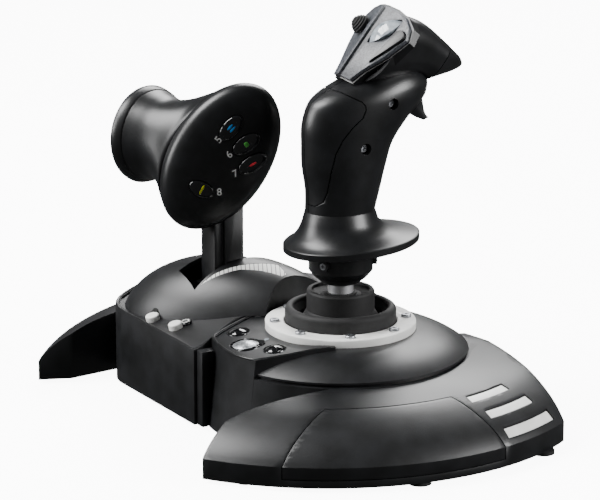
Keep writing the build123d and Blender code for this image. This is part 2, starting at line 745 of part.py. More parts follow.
def handle_run(first, last, inset):
    """The handle between two of its sections, as short lofts joined end to end."""
    body = Part()
    for index in range(first, last):
        pair = []
        for station in handle_sections[index:index + 2]:
            pair.append(handle_plane(station) * Ellipse(station[3] - inset, station[2] - inset))
        body += loft(pair)
    return body


def face_place(y, z, lift=0.0):
    """A place over the thumb face, its own Z along the face's normal, X towards +Y."""
    centre, yaw = handle_sections[-1][:2]
    angle = math.radians(yaw)
    normal = (math.cos(angle), math.sin(angle))
    x = centre[0] - (y - centre[1]) * normal[1] / normal[0]
    plane = Plane(origin=(x, y, z), x_dir=(-normal[1], normal[0], 0), z_dir=(normal[0], normal[1], 0))
    return plane.location * Pos(0, 0, lift)


# name, y, z, long half axis, short half axis, lean
thumb_buttons = [
    ("thumb_button_5", -33.3, 150.2, 8.0, 4.4, 47),
    ("thumb_button_6", -25.6, 141.1, 8.2, 4.4, 32),
    ("thumb_button_7", -22.4, 130.1, 8.4, 4.4, 29),
    ("thumb_button_8", -48.4, 117.2, 7.2, 4.1, -28),
]


def thumb_prism(entry, grow, low, high):
    name, y, z, long_half, short_half, lean = entry
    face = Rot(0, 0, lean) * Ellipse(long_half + grow, short_half + grow)
    return face_place(y, z, low) * extrude(face, high - low)


def face_normal():
    angle = math.radians(handle_sections[-1][1])
    return (math.cos(angle), math.sin(angle), 0)


def rocker_place():
    return Pos(-94.6, -24.4, 137.0) * Rot(0, 0, 26.6)


def end_cap():
    return handle_run(0, cap_section, 0) - handle_run(1, cap_section, wall)


def post_room():
    half = post_width / 2 + 0.1
    return block(lever_x - half, lever_x + half, post_back_y - 0.1, post_front_y + 0.1, 60, post_top + 0.1)


def palm_shell():
    shell = handle_run(cap_section, face_section, 0) - handle_run(cap_section, face_section, wall)
    return shell - post_room() - rocker_place() * Box(25, 9, 15)


def face_shell():
    last = len(handle_sections) - 1
    face = handle_run(face_section, last, 0) - handle_run(face_section, last - 1, wall) - post_room()
    for entry in thumb_buttons:
        face -= thumb_prism(entry, 0.35, -12, 6)
    return face


def thumb_button(entry):
    body = thumb_prism(entry, 0, -5.5, 0.9)
    top = body.faces().sort_by(Axis(origin=(0, 0, 0), direction=face_normal()))[-1]
    return fillet(top.edges(), 0.6)


def finger_rocker():
    pad = fillet(Box(24, 4.6, 14).edges().filter_by(Axis.Z), 1.8)
    return rocker_place() * (pad + Cylinder(1.5, 14.8))


# ---- what lies inside, and under ----
def ballast_plates():
    weight = (tube(58, foot_height + wall, 11, bore=24) & seam_body(-14)) & block(-80, 80, -34, 34, 0, 30)
    other = block(-122, -92, 12, 52, foot_height + wall, 11) + block(-92, -60, 30, 52, foot_height + wall, 11)
    return group([weight, other])


def main_circuit_board():
    board = block(-20, 22, -62, -36, 22, 23.6)
    for x in (-15, 17):
        board += tube(2.2, foot_height + wall, 22, x, -55)
    return board + block(-8, 6, -54, -44, 23.6, 26)


def link_bridge():
    body = block(-20.6, -14.6, -75.6, -64, foot_height, 43.5)
    body -= turned([(0, -9), (base_radius + gap, -9), (base_radius + gap, 2), (base_top_radius + gap, lip_height),
                    (base_top_radius + gap, 70), (0, 70)])
    return max(body.solids(), key=lambda solid: solid.volume)


def cable_grommet():
    body = Pos(0, 71.2, 15) * Rot(90, 0, 0) * (Cylinder(4.95, 8) - Cylinder(2.3, 30))
    collar = Pos(0, 75.0, 15) * Rot(90, 0, 0) * (Cylinder(6.2, 2.4) - Cylinder(2.3, 30))
    return body + collar


foot_points = [(0, 0), (0, -58), (42, -44), (42, 44), (0, 60), (66, -94), (104, 60), (112, -20),
               (-142.6, -94), (-180.6, 60), (-188.6, -20), (-110, -66), (-50, -68), (-110, 54)]


def rubber_feet():
    return group(tube(6.0, 0, foot_height, x, y) for x, y in foot_points)


screw_points = [(26, -50), (26, 50), (-22, -50), (-22, 50), (-104, -50), (-104, 40), (-60, -62),
                (80, -80), (110, 30), (-156.6, -80), (-186.6, 30)]


def base_screws():
    screws = []
    for x, y in screw_points:
        screws.append(Pos(x, y, foot_height) * Rot(180, 0, 0) * pan_screw(2.6, 1.4, 1.3, wall))
    return group(screws)


def share_button():
    body = panel_place(1.6, -50.4, -1.6) * Cylinder(3.1, 5.2)
    return body - panel_place(-2.0, -57.0) * Cylinder(7.9, 30)


def status_lens():
    return panel_place(-1.0, -44.3, -0.8) * Cylinder(1.25, 2.0)


# ---- write every piece ----
save(stick_base_shell(), "stick_base_shell")
save(stick_base_plate(), "stick_base_plate")
save(clamp_ring(), "clamp_ring")
save(ring_screws(), "ring_screws")
save(boot_ring(), "boot_ring")
save(gimbal_housing(), "gimbal_housing")
save(gimbal_yoke(), "gimbal_yoke")
save(pitch_springs(), "pitch_springs")
save(roll_springs(), "roll_springs")
save(stick_shaft(), "stick_shaft")
save(boot_cup(), "boot_cup")

left_shell, right_shell = grip_shells()
save(left_shell, "grip_left_shell")
save(right_shell, "grip_right_shell")
save(palm_insert(), "palm_insert")
save(hand_rest(), "hand_rest")
save(grip_collar(), "grip_collar")
save(grip_screws(), "grip_screws")
save(grip_circuit_board(), "grip_circuit_board")
save(head_body(), "head_body")
save(head_plate(), "head_plate")
save(nose_cap(), "nose_cap")
save(trigger(), "trigger")
save(hat_carrier(), "hat_carrier")
save(hat(), "hat")
save(lens_button(), "lens_button")
save(teardrop_button(), "teardrop_button")

save(panel_place(-2.0, -57.0) * base_dome_button(7.0, 2.2, 4), "guide_button")
save(panel_place(-22.0, -50.0) * base_dome_button(5.0, 2.0, 4), "view_button")
save(panel_place(15.0, -49.0) * base_dome_button(5.0, 2.0, 4), "menu_button")
save(share_button(), "share_button")
save(status_lens(), "status_lens")

save(right_wing(), "right_wing")
save(mirrored(wing_shell()), "left_wing")
save(wing_panel(), "right_wing_panel")
save(mirrored(wing_panel()), "left_wing_panel")
save(wing_stripes(), "wing_stripes")
save(wing_plates(), "wing_plates")

save(throttle_base_shell(), "throttle_base_shell")
save(throttle_base_plate(), "throttle_base_plate")
save(throttle_dome(), "throttle_dome")
save(throttle_scale(), "throttle_scale")
save(throttle_place(-80.6, -70.0) * throttle_button(), "throttle_button_a")
save(throttle_place(-59.0, -67.5) * throttle_button(), "throttle_button_b")
save(lever_shaft(), "lever_shaft")
save(lever_arm(), "lever_arm")
save(friction_pads(), "friction_pads")

save(end_cap(), "end_cap")
save(palm_shell(), "palm_shell")
save(face_shell(), "face_shell")
save(finger_rocker(), "finger_rocker")
for thumb_entry in thumb_buttons:
    save(thumb_button(thumb_entry), thumb_entry[0])

save(ballast_plates(), "ballast_plates")
save(main_circuit_board(), "main_circuit_board")
save(link_bridge(), "link_bridge")
save(cable_grommet(), "cable_grommet")
save(rubber_feet(), "rubber_feet")
save(base_screws(), "base_screws")
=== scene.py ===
import math
import json
import bpy
import bmesh
from mathutils import Matrix, Vector

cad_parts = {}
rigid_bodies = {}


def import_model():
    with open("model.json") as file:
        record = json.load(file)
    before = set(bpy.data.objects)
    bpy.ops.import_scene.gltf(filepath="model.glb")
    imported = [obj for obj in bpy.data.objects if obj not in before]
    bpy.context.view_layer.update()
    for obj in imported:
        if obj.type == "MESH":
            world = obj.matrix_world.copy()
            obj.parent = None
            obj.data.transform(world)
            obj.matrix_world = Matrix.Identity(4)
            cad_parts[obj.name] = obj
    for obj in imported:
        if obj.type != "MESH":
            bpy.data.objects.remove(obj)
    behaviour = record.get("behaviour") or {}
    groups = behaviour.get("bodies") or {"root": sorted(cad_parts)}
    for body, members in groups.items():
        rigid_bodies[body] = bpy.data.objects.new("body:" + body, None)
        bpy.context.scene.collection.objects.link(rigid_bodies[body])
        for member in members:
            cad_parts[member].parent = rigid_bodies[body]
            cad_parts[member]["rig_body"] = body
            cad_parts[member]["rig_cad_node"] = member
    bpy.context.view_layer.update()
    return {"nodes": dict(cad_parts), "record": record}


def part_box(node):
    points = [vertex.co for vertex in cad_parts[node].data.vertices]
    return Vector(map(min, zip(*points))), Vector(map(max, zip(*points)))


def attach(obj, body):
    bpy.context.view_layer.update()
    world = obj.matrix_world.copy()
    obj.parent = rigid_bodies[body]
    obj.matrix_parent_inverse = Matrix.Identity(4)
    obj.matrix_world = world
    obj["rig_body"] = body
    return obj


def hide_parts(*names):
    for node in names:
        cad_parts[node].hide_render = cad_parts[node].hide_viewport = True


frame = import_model()
mm = 0.001
print("frame loaded")


# colour and material helpers
def toLinear(hexText, alpha=1.0):
    values = []
    for start in (0, 2, 4):
        c = int(hexText[start:start + 2], 16) / 255
        values.append(c / 12.92 if c <= 0.04045 else ((c + 0.055) / 1.055) ** 2.4)
    return (*values, alpha)


def addNode(tree, kind, links=None, **settings):
    node = tree.nodes.new(kind)
    inputs = settings.pop("inputs", {})
    for key, value in settings.items():
        setattr(node, key, value)
    for key, value in inputs.items():
        node.inputs[key].default_value = value
    for key, source in (links or {}).items():
        tree.links.new(source, node.inputs[key])
    return node


def newMaterial(name):
    material = bpy.data.materials.new(name)
    material.use_nodes = True
    tree = material.node_tree
    shader = tree.nodes["Principled BSDF"]
    place = addNode(tree, "ShaderNodeTexCoord").outputs["Object"]
    return material, tree, shader, place


def mottled(tree, place, low, high, size, detail=3.0, span=(0.35, 0.65)):
    # colours drift between low and high over blotches of the given size in mm
    noise = addNode(tree, "ShaderNodeTexNoise", {"Vector": place},
                    inputs={"Scale": 1000 / size, "Detail": detail})
    ramp = addNode(tree, "ShaderNodeValToRGB", {"Fac": noise.outputs["Fac"]})
    ramp.color_ramp.elements[0].position = span[0]
    ramp.color_ramp.elements[1].position = span[1]
    ramp.color_ramp.elements[0].color = toLinear(low)
    ramp.color_ramp.elements[1].color = toLinear(high)
    return ramp.outputs["Color"]


def ranged(tree, value, low, high):
    return addNode(tree, "ShaderNodeMapRange", {"Value": value},
                   inputs={"To Min": low, "To Max": high}).outputs["Result"]


def grain(tree, shader, place, size, depth, strength=1.0, detail=2.0):
    # moulded or cast texture: bumps of the given size and depth in mm
    noise = addNode(tree, "ShaderNodeTexNoise", {"Vector": place},
                    inputs={"Scale": 1000 / size, "Detail": detail})
    bump = addNode(tree, "ShaderNodeBump", {"Height": noise.outputs["Fac"]},
                   inputs={"Strength": strength, "Distance": depth * mm})
    tree.links.new(bump.outputs["Normal"], shader.inputs["Normal"])
    return noise


def plastic(name, low, high, blotch, rough, grainSize, grainDepth, coat=0.0, ior=1.5):
    material, tree, shader, place = newMaterial(name)
    tree.links.new(mottled(tree, place, low, high, blotch), shader.inputs["Base Color"])
    wear = addNode(tree, "ShaderNodeTexNoise", {"Vector": place}, inputs={"Scale": 1000 / 24, "Detail": 4.0})
    tree.links.new(ranged(tree, wear.outputs["Fac"], rough[0], rough[1]), shader.inputs["Roughness"])
    grain(tree, shader, place, grainSize, grainDepth)
    shader.inputs["IOR"].default_value = ior
    if coat:
        shader.inputs["Coat Weight"].default_value = coat
        shader.inputs["Coat Roughness"].default_value = 0.08
    return material


# ABS, spark-eroded fine in the mould: deep black with a broad soft sheen
satinAbs = plastic("satin moulded ABS", "0b0c0d", "141517", 9, (0.29, 0.40), 0.55, 0.018)
# ABS of the base shells, a touch coarser and duller than the grip
baseAbs = plastic("textured moulded ABS", "0d0e0f", "17181a", 12, (0.34, 0.46), 0.7, 0.03)
# plain underside ABS: matte and a little grey
plainAbs = plastic("plain moulded ABS", "131313", "1c1c1c", 15, (0.5, 0.62), 0.8, 0.03)
# polished ABS of the buttons: a hard, nearly mirror-smooth black
glossAbs = plastic("polished moulded ABS", "08090a", "0e0f11", 8, (0.06, 0.12), 1.2, 0.004, coat=0.6)
# silver-sprayed ABS of the round centre button: metal flake under a satin coat
silverPaint = plastic("silver-sprayed ABS", "8d9094", "d2d4d7", 1.6, (0.3, 0.42), 0.5, 0.01)
silverPaint.node_tree.nodes["Principled BSDF"].inputs["Metallic"].default_value = 0.85


def scalePrint():
    # white moulding with thin black division lines printed across it, one each 2.6 mm
    material, tree, shader, place = newMaterial("printed white ABS")
    split = addNode(tree, "ShaderNodeSeparateXYZ", {"Vector": place})
    lean = addNode(tree, "ShaderNodeMath", {0: split.outputs["X"]}, operation="MULTIPLY", inputs={1: 0.5})
    along = addNode(tree, "ShaderNodeMath", {0: split.outputs["Y"], 1: lean.outputs["Value"]},
                    operation="ADD")
    steps = addNode(tree, "ShaderNodeMath", {0: along.outputs["Value"]}, operation="MULTIPLY",
                    inputs={1: 1 / 0.0026})
    part = addNode(tree, "ShaderNodeMath", {0: steps.outputs["Value"]}, operation="FRACT")
    line = addNode(tree, "ShaderNodeMath", {0: part.outputs["Value"]}, operation="GREATER_THAN",
                   inputs={1: 0.17})
    mix = addNode(tree, "ShaderNodeMix", {"Factor": line.outputs["Value"]}, data_type="RGBA")
    mix.inputs["A"].default_value = toLinear("1c1c1e")
    tree.links.new(mottled(tree, place, "dededa", "f0f0ec", 8), mix.inputs["B"])
    tree.links.new(mix.outputs["Result"], shader.inputs["Base Color"])
    shader.inputs["Roughness"].default_value = 0.42
    grain(tree, shader, place, 0.6, 0.01)
    return material


# white ABS: warm white with the faint grain of a bead-blasted mould
whiteAbs = plastic("white moulded ABS", "e6e6e3", "f5f5f2", 10, (0.36, 0.48), 0.6, 0.015)
# painted thumb plate: grey lacquer with fine dark and light flecks
greyPaint = plastic("grey flecked lacquer", "303236", "5a5d63", 0.9, (0.3, 0.42), 0.5, 0.02)
# moulded rubber: matte, with a dusty bloom
rubber = plastic("moulded rubber", "0a0a0b", "131314", 6, (0.62, 0.8), 0.5, 0.05)
# solder mask over glass fibre
maskGreen = plastic("solder mask", "0c3a1c", "14552b", 5, (0.25, 0.4), 0.8, 0.01)


def turnedSteel(name, low, high, rough, stretch):
    # bar or wire turned in a lathe: fine rings run round the axis
    material, tree, shader, place = newMaterial(name)
    rings = addNode(tree, "ShaderNodeMapping", {"Vector": place}, inputs={"Scale": stretch})
    lines = addNode(tree, "ShaderNodeTexNoise", {"Vector": rings.outputs["Vector"]},
                    inputs={"Scale": 1.0, "Detail": 4.0})
    tree.links.new(mottled(tree, place, low, high, 4), shader.inputs["Base Color"])
    tree.links.new(ranged(tree, lines.outputs["Fac"], rough[0], rough[1]), shader.inputs["Roughness"])
    bump = addNode(tree, "ShaderNodeBump", {"Height": lines.outputs["Fac"]},
                   inputs={"Strength": 0.5, "Distance": 0.02 * mm})
    tree.links.new(bump.outputs["Normal"], shader.inputs["Normal"])
    shader.inputs["Metallic"].default_value = 1.0
    return material


# bright turned steel of the shafts
turnedShaft = turnedSteel("turned steel", "c0c1c4", "dededf", (0.42, 0.58), (90, 90, 3000))
# zinc-plated screws: greyer, with a soft even shine
zincSteel = turnedSteel("zinc-plated steel", "8c8e92", "b2b4b8", (0.3, 0.45), (1500, 1500, 1500))


def clearPlastic():
    # acrylic lens over a dark well, drawn as a glossy grey that drifts at random between two tones and lets a
    # little light through
    material, tree, shader, place = newMaterial("clear acrylic")
    tree.links.new(mottled(tree, place, "8e979f", "c4ccd3", 3), shader.inputs["Base Color"])
    grain(tree, shader, place, 2.0, 0.004)
    shader.inputs["Roughness"].default_value = 0.05
    shader.inputs["IOR"].default_value = 1.49
    shader.inputs["Transmission Weight"].default_value = 0.15
    shader.inputs["Coat Weight"].default_value = 1.0
    return material


clearAcrylic = clearPlastic()

finishes = {
    "satin_black_abs": satinAbs, "plain_black_abs": plainAbs, "soft_black_rubber": rubber,
    "white_abs": whiteAbs,
    "gloss_black_abs": glossAbs, "satin_grey_abs": greyPaint, "clear_lens": clearAcrylic,
    "bright_steel": turnedShaft,
    "screw_steel": zincSteel, "circuit_board": maskGreen,
}
baseNodes = ("stick_base_shell", "right_wing", "left_wing", "right_wing_panel", "left_wing_panel",
             "throttle_base_shell",
             "throttle_dome", "link_bridge")


def finishCadNodes():
    for part in frame["record"]["subparts"]:
        node = frame["nodes"][part["node"]]
        finish = baseAbs if part["node"] in baseNodes else finishes[part["material_slot"]]
        finish = {"guide_button": silverPaint, "throttle_scale": printedScale}.get(part["node"], finish)
        node.data.materials.clear()
        node.data.materials.append(finish)


printedScale = scalePrint()
finishCadNodes()
print("finishes on the CAD pieces")

# modelling helpers
def activate(piece):
    if bpy.context.object and bpy.context.object.mode != "OBJECT":
        bpy.ops.object.mode_set(mode="OBJECT")
    bpy.ops.object.select_all(action="DESELECT")
    piece.select_set(True)
    bpy.context.view_layer.objects.active = piece


def settle(piece, angle=30):
    # doubles merged, faces turned outwards, place kept in the mesh, smooth but for real edges
    activate(piece)
    bpy.ops.object.transform_apply(location=True, rotation=True, scale=True)
    bpy.ops.object.mode_set(mode="EDIT")
    bpy.ops.mesh.select_all(action="SELECT")
    bpy.ops.mesh.remove_doubles(threshold=0.01 * mm)
    bpy.ops.mesh.normals_make_consistent(inside=False)
    bpy.ops.object.mode_set(mode="OBJECT")
    bpy.ops.object.shade_smooth_by_angle(angle=math.radians(angle))


def applyModifier(piece, kind, **settings):
    activate(piece)
    modifier = piece.modifiers.new(kind.lower(), kind)
    for key, value in settings.items():
        setattr(modifier, key, value)
    bpy.ops.object.modifier_apply(modifier=modifier.name)


def dress(piece, finish, body, slotName, *nodes):
    piece.data.materials.clear()
    piece.data.materials.append(finish)
    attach(piece, body)
    if nodes:
        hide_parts(*nodes)
    return piece


def pickRing(piece, around, *rings):
    bpy.ops.mesh.select_all(action="DESELECT")
    mesh = bmesh.from_edit_mesh(piece.data)
    mesh.verts.index_update()
    for edge in mesh.edges:
        a, b = edge.verts[0].index // around, edge.verts[1].index // around
        if a == b and a in rings:
            edge.select = True
    bmesh.update_edit_mesh(piece.data)


def loftRings(name, rings, around=48, closed=(True, True)):
    # rings of (middle, turned axes, half width, half height) in mm, drawn as circles and bridged
    bpy.ops.object.select_all(action="DESELECT")
    bpy.ops.mesh.primitive_circle_add(vertices=around, radius=mm)
    piece = bpy.context.object
    piece.name = name
    bpy.ops.object.mode_set(mode="EDIT")
    bpy.ops.mesh.delete(type="VERT")
    for middle, axes, width, height in rings:
        place = Vector(middle) * mm
        bpy.ops.mesh.select_all(action="DESELECT")
        bpy.ops.mesh.primitive_circle_add(vertices=around, radius=mm, location=place,
                                          rotation=axes.to_euler())
        bpy.ops.transform.resize(value=(width, height, 1), orient_type="GLOBAL", orient_matrix=axes,
                                 orient_matrix_type="GLOBAL", center_override=place)
    for index in range(len(rings) - 1):
        pickRing(piece, around, index, index + 1)
        bpy.ops.mesh.bridge_edge_loops()
    for ring, close in zip((0, len(rings) - 1), closed):
        if close:
            pickRing(piece, around, ring)
            bpy.ops.mesh.edge_face_add()
    bpy.ops.mesh.select_all(action="SELECT")
    bpy.ops.mesh.normals_make_consistent(inside=False)
    bpy.ops.object.mode_set(mode="OBJECT")
    return piece


def blendStations(stations, steps):
    # a smooth run through the given rows of numbers
    rows = []
    count = len(stations)
    for index in range(count - 1):
        p = [stations[max(0, min(count - 1, index + k))] for k in (-1, 0, 1, 2)]
        for step in range(steps):
            t = step / steps
            row = []
            for a, b, c, d in zip(*p):
                row.append(0.5 * (2 * b + (c - a) * t + (2 * a - 5 * b + 4 * c - d) * t * t
                                  + (3 * b - a - 3 * c + d) * t ** 3))
            rows.append(row)
    rows.append(list(stations[-1]))
    return rows


def cutAway(piece, cutters, mode="DIFFERENCE"):
    for cutter in cutters:
        applyModifier(piece, "BOOLEAN", operation=mode, object=cutter, solver="EXACT")
        bpy.data.objects.remove(cutter)


# the throttle's handle: palm bulb, face and end cap, lofted along one leaning path
handle = {
    # middle, yaw, half height, half width, lean
    "stations": [
        (-111.6, -51.7, 137.7, 16.6, 24.9, 24.8, 2), (-107.0, -50.4, 137.5, 16.0, 23.6, 22.9, 6),
        (-99.0, -48.0, 136.6, 12.0, 22.8, 20.8, 14), (-89.0, -44.0, 134.6, 4.0, 27.4, 21.0, 23),
        (-79.5, -38.4, 132.8, -7.0, 35.8, 23.8, 29), (-70.6, -33.6, 132.8, -19.9, 43.2, 27.4, 32),
    ],
    "face": [
        (-70.3, -33.7, 132.8, -19.9, 42.9, 27.1, 32), (-69.6, -33.95, 132.8, -19.9, 43.4, 27.6, 32),
        (-66.9, -34.9, 132.8, -19.9, 43.2, 27.3, 32), (-65.0, -35.6, 132.85, -19.9, 42.2, 26.3, 32),
        (-63.2, -36.3, 132.95, -19.9, 40.0, 24.2, 32), (-61.9, -36.8, 133.1, -19.9, 36.0, 20.8, 32),
        (-60.9, -37.3, 133.2, -19.9, 29.5, 15.6, 32), (-60.4, -37.5, 133.2, -19.9, 18.0, 8.6, 32),
        (-60.3, -37.6, 133.2, -19.9, 1.0, 0.5, 32),
    ],
    "cap": [
        (-119.6, -54.7, 137.7, 16.6, 0.6, 0.6, 0), (-119.6, -54.7, 137.7, 16.6, 21.5, 21.4, 0),
        (-119.4, -54.6, 137.7, 16.6, 23.6, 23.5, 0), (-118.8, -54.4, 137.7, 16.6, 25.3, 25.2, 0),
        (-117.9, -54.0, 137.7, 16.6, 26.5, 26.4, 0), (-116.8, -53.6, 137.7, 16.6, 26.9, 26.8, 0),
        (-114.6, -52.8, 137.7, 16.6, 26.3, 26.2, 0), (-112.6, -52.0, 137.7, 16.6, 25.5, 25.4, 0),
        (-112.1, -51.8, 137.7, 16.6, 25.1, 25.0, 0), (-111.8, -51.7, 137.7, 16.6, 24.4, 24.3, 0),
    ],
    "smooth": 6,
    "buttons": {
        5: (-33.3, 150.2, 8.0, 4.4, 47), 6: (-25.6, 141.1, 8.2, 4.4, 32),
        7: (-22.4, 130.1, 8.4, 4.4, 29), 8: (-48.4, 117.2, 7.2, 4.1, -28),
    },
}


def handleRing(row, grow=0.0):
    x, y, z, yaw, tall, wide, lean = row
    a = math.radians(yaw)
    across = Vector((-math.sin(a), math.cos(a), 0))
    normal = Vector((math.cos(a), math.sin(a), 0))
    axes = Matrix((across, Vector((0, 0, 1)), normal)).transposed()
    axes = axes @ Matrix.Rotation(-math.radians(lean), 3, "Z")
    return ((x, y, z), axes, wide + grow, tall + grow)


def facePlace(y, z, lift, lean):
    # a spot over the thumb face and the axes of its plane
    x0, y0, z0, yaw = handle["face"][-1][:4]
    a = math.radians(yaw)
    normal = Vector((math.cos(a), math.sin(a), 0))
    across = Vector((-normal.y, normal.x, 0))
    spot = Vector((x0 - (y - y0) * normal.y / normal.x, y, z)) + normal * lift
    axes = Matrix((across, Vector((0, 0, 1)), normal)).transposed() @ Matrix.Rotation(
        math.radians(lean), 3, "Z")
    return spot, axes


def buttonRings(key, steps):
    # steps of (lift, grow) over the face for one oval
    y, z, long, short, lean = handle["buttons"][key]
    rings = []
    for lift, grow in steps:
        spot, axes = facePlace(y, z, lift, lean)
        rings.append((spot, axes, max(long + grow, 0.3), max(short + grow, 0.2)))
    return rings


def buildHandle():
    rows = blendStations(handle["stations"], handle["smooth"])
    palm = loftRings("throttlePalm", [handleRing(row) for row in rows], 72)
    settle(palm, 40)
    dress(palm, satinAbs, "lever", "satin_black_abs", "palm_shell")
    face = loftRings("throttleFace", [handleRing(row) for row in handle["face"]], 72, (True, True))
    settle(face, 60)
    cutAway(face, [loftRings("ovalCut", buttonRings(key,
                                                    [(-6, 0.35), (-0.25, 0.35), (0.35, 0.95), (4, 0.95)]), 48)
                   for key in handle["buttons"]])
    settle(face, 35)
    dress(face, satinAbs, "lever", "satin_black_abs", "face_shell")
    cap = loftRings("throttleEndCap", [handleRing(row) for row in handle["cap"]], 72)
    settle(cap, 40)
    dress(cap, satinAbs, "lever", "satin_black_abs", "end_cap")
    for key in handle["buttons"]:
        dome = loftRings(f"thumbOval{key}", buttonRings(key, [(-4.5, 0), (0.5, 0), (0.8, -0.25), (1.0, -0.7),
                                                              (1.15, -1.8), (1.25, -3.4), (1.28, -8)]), 48)
        settle(dome, 50)
        dress(dome, glossAbs, f"thumb_button_{key}", "gloss_black_abs", f"thumb_button_{key}")


# the grip, lofted in level rings from the collar to under the head
grip = {
    # height, middle in Y, half depth, half width
    "stations": [
        (114.8, -0.6, 19.0, 16.8), (126.0, 1.0, 20.6, 17.4), (139.0, 1.8, 23.6, 18.0),
        (150.0, 3.6, 25.8, 18.4),
        (161.0, 8.0, 30.2, 18.8), (171.0, 14.6, 33.8, 19.0), (176.0, 18.2, 32.4, 18.6),
        (180.0, 22.0, 28.6, 17.4),
        (184.0, 25.4, 22.4, 15.0), (188.0, 28.0, 14.0, 11.0),
    ],
    "smooth": 5,
    "screws": [(20.7, 172.0), (4.4, 149.8)],
    # the palm insert's edge on the grip's flank, as (y, z)
    "insert": [(-30, 182.0), (-12, 181.0), (-5.5, 179.2), (-0.6, 176.5), (2.6, 174.7), (4.2, 172.6),
               (4.2, 170.4),
               (2.4, 166.7), (-3.5, 161.7), (-8.4, 155.7), (-11.9, 148.2), (-13.9, 138.1), (-14.8, 127.6),
               (-16.2, 122.0),
               (-18.6, 119.4), (-30, 118.6)],
}


def gripRings(grow=0.0):
    rings = []
    for z, y, deep, wide in blendStations(grip["stations"], grip["smooth"]):
        rings.append(((0, y, z), Matrix.Identity(3), wide + grow, deep + grow))
    return rings


def ribbon(name, points, side, thick):
    # a thin wall that follows a line of (y, z) points and runs from -side to side along X
    bpy.ops.object.select_all(action="DESELECT")
    bpy.ops.mesh.primitive_plane_add(size=mm, location=(-side * mm, points[0][0] * mm, points[0][1] * mm))
    piece = bpy.context.object
    piece.name = name
    bpy.ops.object.transform_apply(location=True)
    bpy.ops.object.mode_set(mode="EDIT")
    bpy.ops.mesh.merge(type="CENTER")
    for a, b in zip(points, points[1:]):
        bpy.ops.mesh.extrude_region_move(TRANSFORM_OT_translate={"value": (0, (b[0] - a[0]) * mm,
                                                                           (b[1] - a[1]) * mm)})
    bpy.ops.mesh.select_all(action="SELECT")
    bpy.ops.mesh.extrude_region_move(TRANSFORM_OT_translate={"value": (2 * side * mm, 0, 0)})
    bpy.ops.mesh.select_all(action="SELECT")
    bpy.ops.mesh.normals_make_consistent(inside=False)
    bpy.ops.object.mode_set(mode="OBJECT")
    applyModifier(piece, "SOLIDIFY", thickness=thick * mm, offset=0.0)
    return piece


def buildGrip():
    body = loftRings("gripShell", gripRings(), 72)
    settle(body, 50)
    seam = ribbon("insertSeam", grip["insert"], 30, 0.6)
    inner = loftRings("innerGrip", gripRings(-1.0), 48)
    cutAway(seam, [inner])
    holes = []
    for y, z in grip["screws"]:
        spin = Matrix.Rotation(math.pi / 2, 3, "Y")
        holes.append(loftRings("screwHole",
                               [((x, y, z), spin, r, r) for x, r in ((10, 2.9), (16.5, 2.9), (24, 3.5))], 32))
    parting = [((x, 14, 150), Matrix.Rotation(math.pi / 2, 3, "Y"), 60, 60) for x in (-0.2, 0.2)]
    line = loftRings("partingLine", parting, 48)
    cutAway(line, [loftRings("innerGrip", gripRings(-0.7), 48)])
    cutAway(body, [seam, line] + holes)
    settle(body, 40)
    return dress(body, satinAbs, "grip", "satin_black_abs", "grip_left_shell", "grip_right_shell",
                 "palm_insert")


# the hand rest plate round the foot of the grip
rest = {
    # height, middle in Y, half depth, half width
    "stations": [
        (115.2, -0.6, 18.6, 16.4), (114.4, -0.6, 19.2, 17.0), (109.0, -0.4, 20.8, 18.6),
        (105.2, 0.6, 23.2, 21.2),
        (102.6, 2.4, 26.6, 24.6), (100.8, 4.2, 30.2, 27.0), (99.6, 5.4, 33.6, 28.8), (98.9, 6.3, 36.4, 30.2),
        (98.6, 6.5, 37.4, 30.9), (98.3, 6.5, 37.7, 31.2), (95.2, 6.5, 37.7, 31.2), (94.9, 6.5, 37.4, 30.9),
        (94.7, 6.0, 36.4, 30.0), (94.7, 4.0, 28.0, 24.0), (94.7, 1.0, 17.0, 17.0),
    ],
    "tilt": 3.4,
}


def buildHandRest():
    rings = []
    for z, y, deep, wide in rest["stations"]:
        lean = rest["tilt"] * min(1.0, max(0.0, (109.0 - z) / 9.0))
        turn = Matrix.Rotation(math.radians(lean), 3, "X")
        rings.append(((0, y, z), turn, wide, deep))
    plate = loftRings("handRestPlate", rings, 96)
    settle(plate, 35)
    return dress(plate, satinAbs, "grip", "satin_black_abs", "hand_rest")


# crisp moulded parts, from copies of their CAD shape with the edges eased
easedEdges = {
    # node: body, finish, slot, edge radius in mm
    "head_plate": ("grip", greyPaint, "satin_grey_abs", 0.35),
    "lever_arm": ("lever", satinAbs, "satin_black_abs", 0.5),
    "trigger": ("trigger", satinAbs, "satin_black_abs", 0.5),
    "throttle_base_shell": ("base", baseAbs, "satin_black_abs", 0.7),
    "right_wing": ("base", baseAbs, "satin_black_abs", 0.6),
    "left_wing": ("base", baseAbs, "satin_black_abs", 0.6),
    "right_wing_panel": ("base", baseAbs, "satin_black_abs", 0.5),
    "left_wing_panel": ("base", baseAbs, "satin_black_abs", 0.5),
    "link_bridge": ("base", baseAbs, "satin_black_abs", 0.6),
    "clamp_ring": ("base", whiteAbs, "white_abs", 0.5),
    "teardrop_button": ("teardrop_button", satinAbs, "gloss_black_abs", 0.4),
    "wing_stripes": ("base", whiteAbs, "white_abs", 0.2),
}


